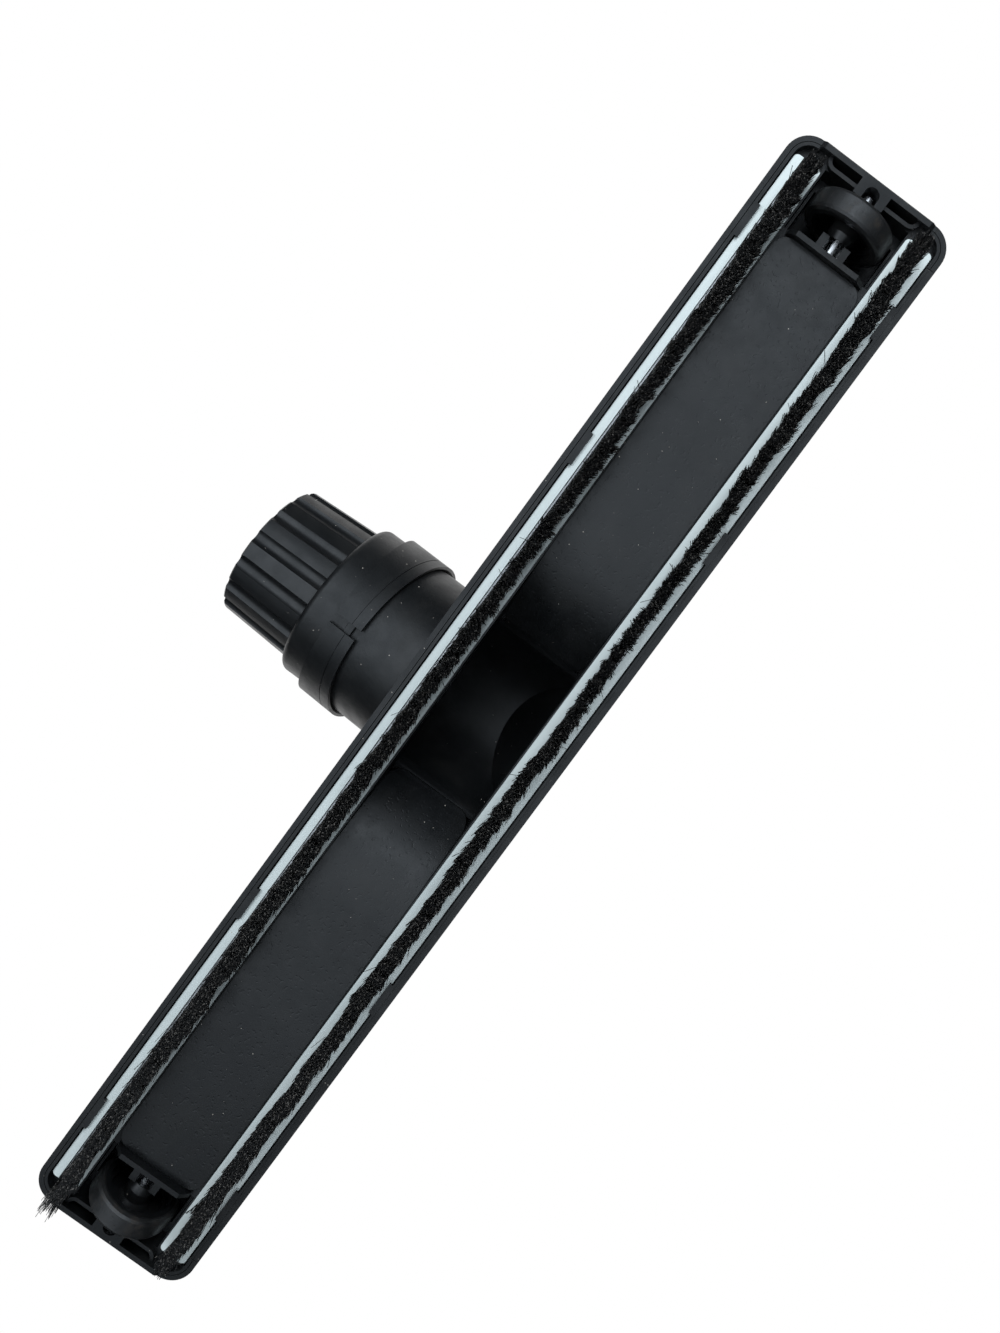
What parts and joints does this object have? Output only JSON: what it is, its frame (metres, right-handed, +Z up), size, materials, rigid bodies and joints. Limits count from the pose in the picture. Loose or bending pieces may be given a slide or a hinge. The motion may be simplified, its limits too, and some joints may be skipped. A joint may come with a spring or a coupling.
{
  "type": "vacuum floor brush head",
  "caption": "Wide vacuum floor tool: long trough head with clip-in bristle strips, end wheels on steel axles, a central throat and a swivelling neck with a ribbed wand socket.",
  "frame": {"origin": "point on the floor under the middle of the head, level with the bristle tips and the bottoms of the wheels", "axes": "+X along the head to its left end as seen by the person who pushes it, +Y to the rear where the neck leaves, +Z up from the floor"},
  "size_m": [0.4, 0.1218, 0.0795],
  "materials": {
    "black_shell": "fine grained black moulding",
    "black_frame": "plain black moulding",
    "black_sole": "smooth satin black sheet",
    "black_grip": "satin black",
    "black_wheel": "satin black",
    "tread": "soft black tread, a little dusty",
    "seal_rubber": "matt",
    "white_plastic": "smooth white, satin",
    "steel": "bright",
    "bristle": "dense black bristles"
  },
  "bodies": {
    "head": {"upper_housing": "black_shell", "base_chassis": "black_frame", "front_bumper": "black_shell", "rear_strip_carrier": "white_plastic", "front_strip_carrier": "white_plastic", "rear_strip_channel": "steel", "front_strip_channel": "steel", "rear_bristles": "bristle", "front_bristles": "bristle", "left_deck_plate": "black_sole", "right_deck_plate": "black_sole", "left_axle": "steel", "right_axle": "steel"},
    "left_wheel_body": {"left_wheel": "black_wheel", "left_tyre": "tread"},
    "right_wheel_body": {"right_wheel": "black_wheel", "right_tyre": "tread"},
    "neck": {"neck_elbow": "black_shell", "clip_ring": "black_shell", "seal_ring": "seal_rubber", "ribbed_cuff": "black_grip"}
  },
  "joints": [
    {"name": "left_wheel_spin", "type": "hinge", "parent": "head", "child": "left_wheel_body", "pos_m": [0.1863, 0, 0.01375], "axis": [1, 0, 0], "continuous": true},
    {"name": "right_wheel_spin", "type": "hinge", "parent": "head", "child": "right_wheel_body", "pos_m": [-0.1863, 0, 0.01375], "axis": [1, 0, 0], "continuous": true},
    {"name": "neck_swivel", "type": "hinge", "parent": "head", "child": "neck", "pos_m": [0, 0.0285, 0.0421], "axis": [0, 0.9799, 0.1994], "continuous": true}
  ]
}
